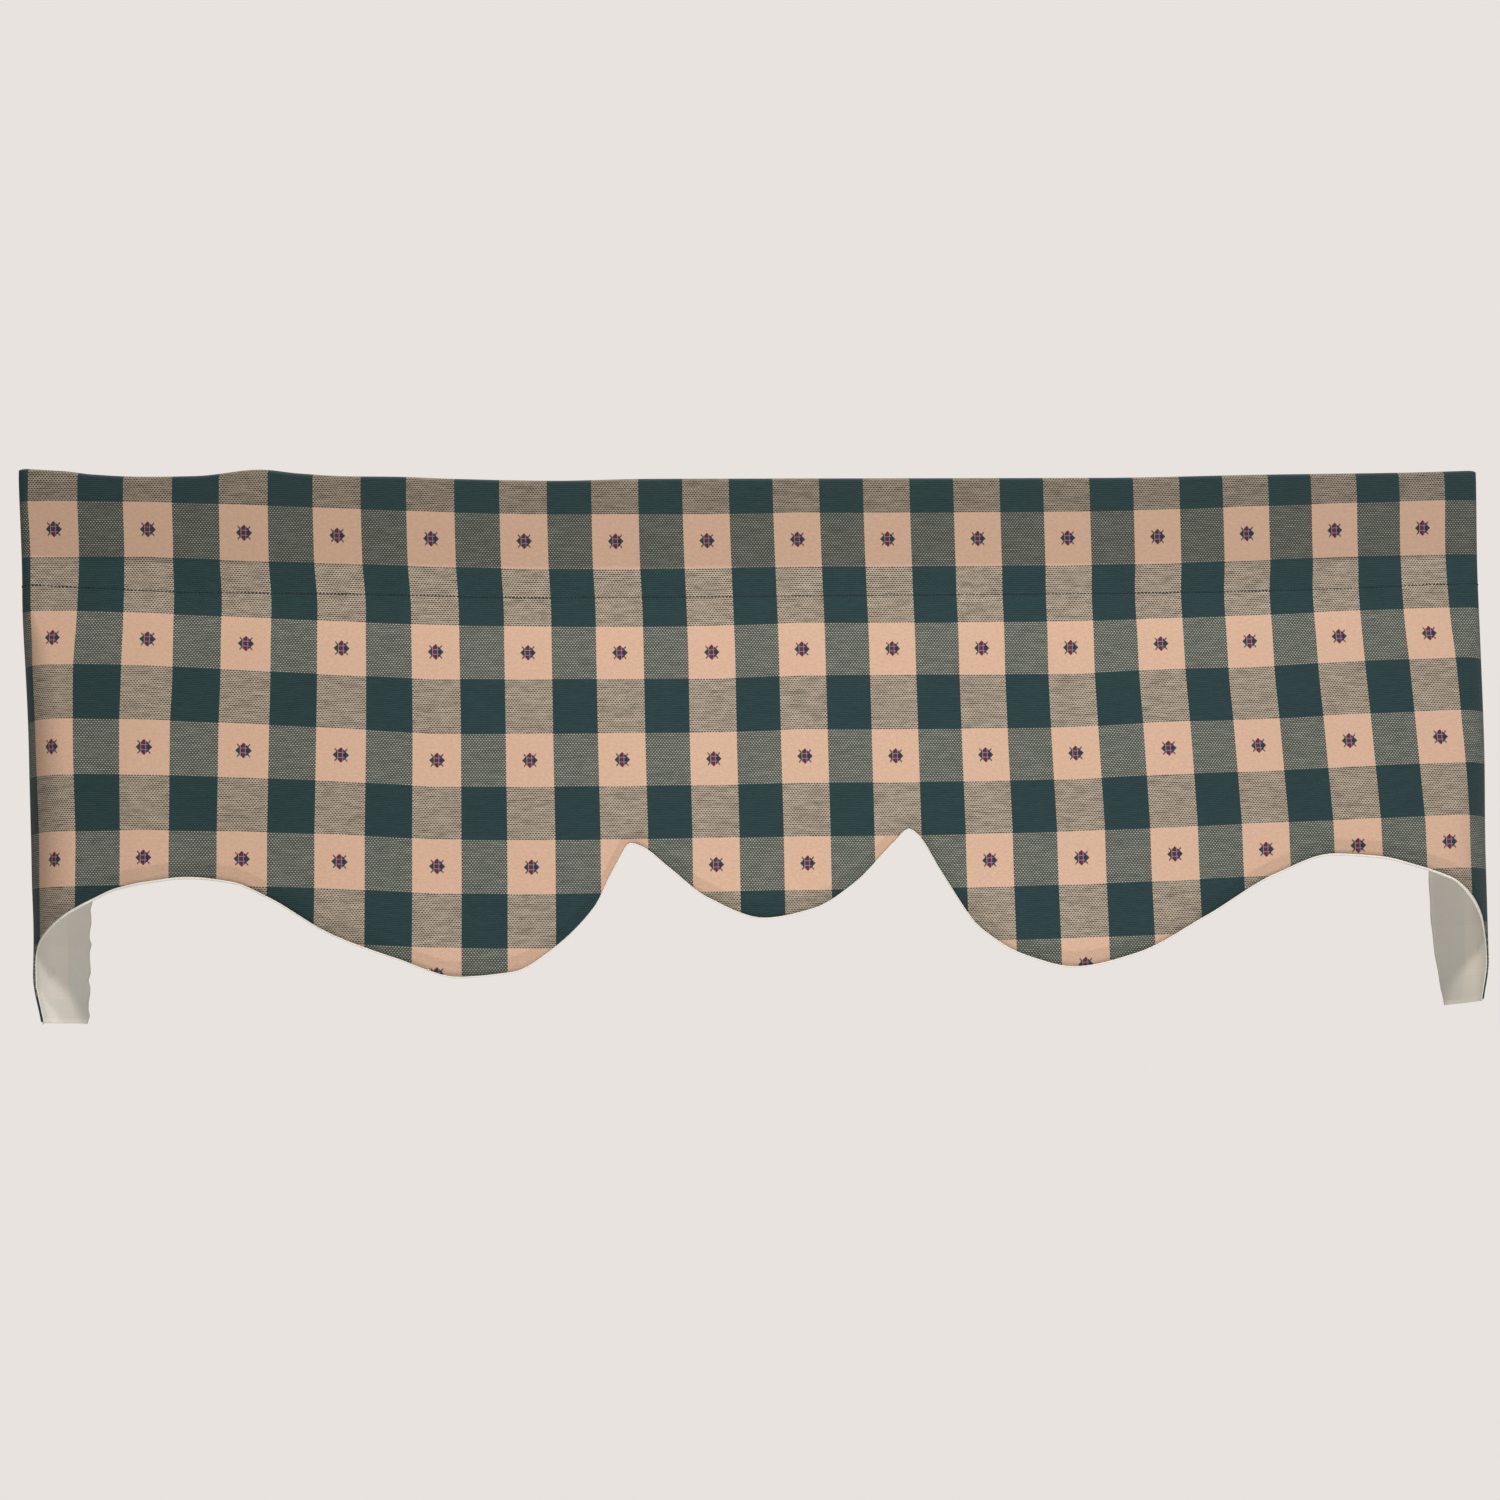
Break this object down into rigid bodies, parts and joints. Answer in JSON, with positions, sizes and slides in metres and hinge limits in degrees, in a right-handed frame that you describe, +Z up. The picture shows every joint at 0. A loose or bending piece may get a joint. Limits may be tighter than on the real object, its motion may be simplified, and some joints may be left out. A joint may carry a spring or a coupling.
{
  "type": "window valance",
  "caption": "Lined window valance of checked cloth with a rod pocket along the top, a scalloped lower edge and a return at each side.",
  "frame": {"origin": "middle of the top edge, on the crest of the fold over the rod", "axes": "+X along the top edge to the viewer's right, +Y back towards the wall, +Z up"},
  "size_m": [1.293, 0.1211, 0.4783],
  "materials": {
    "woven_check": "yarn-dyed woven check cotton in dark green and beige, matt",
    "lining_cotton": "plain woven cream cotton lining, matt"
  },
  "bodies": {
    "root": {"check_cloth": "woven_check", "lining": "lining_cotton"}
  },
  "joints": []
}
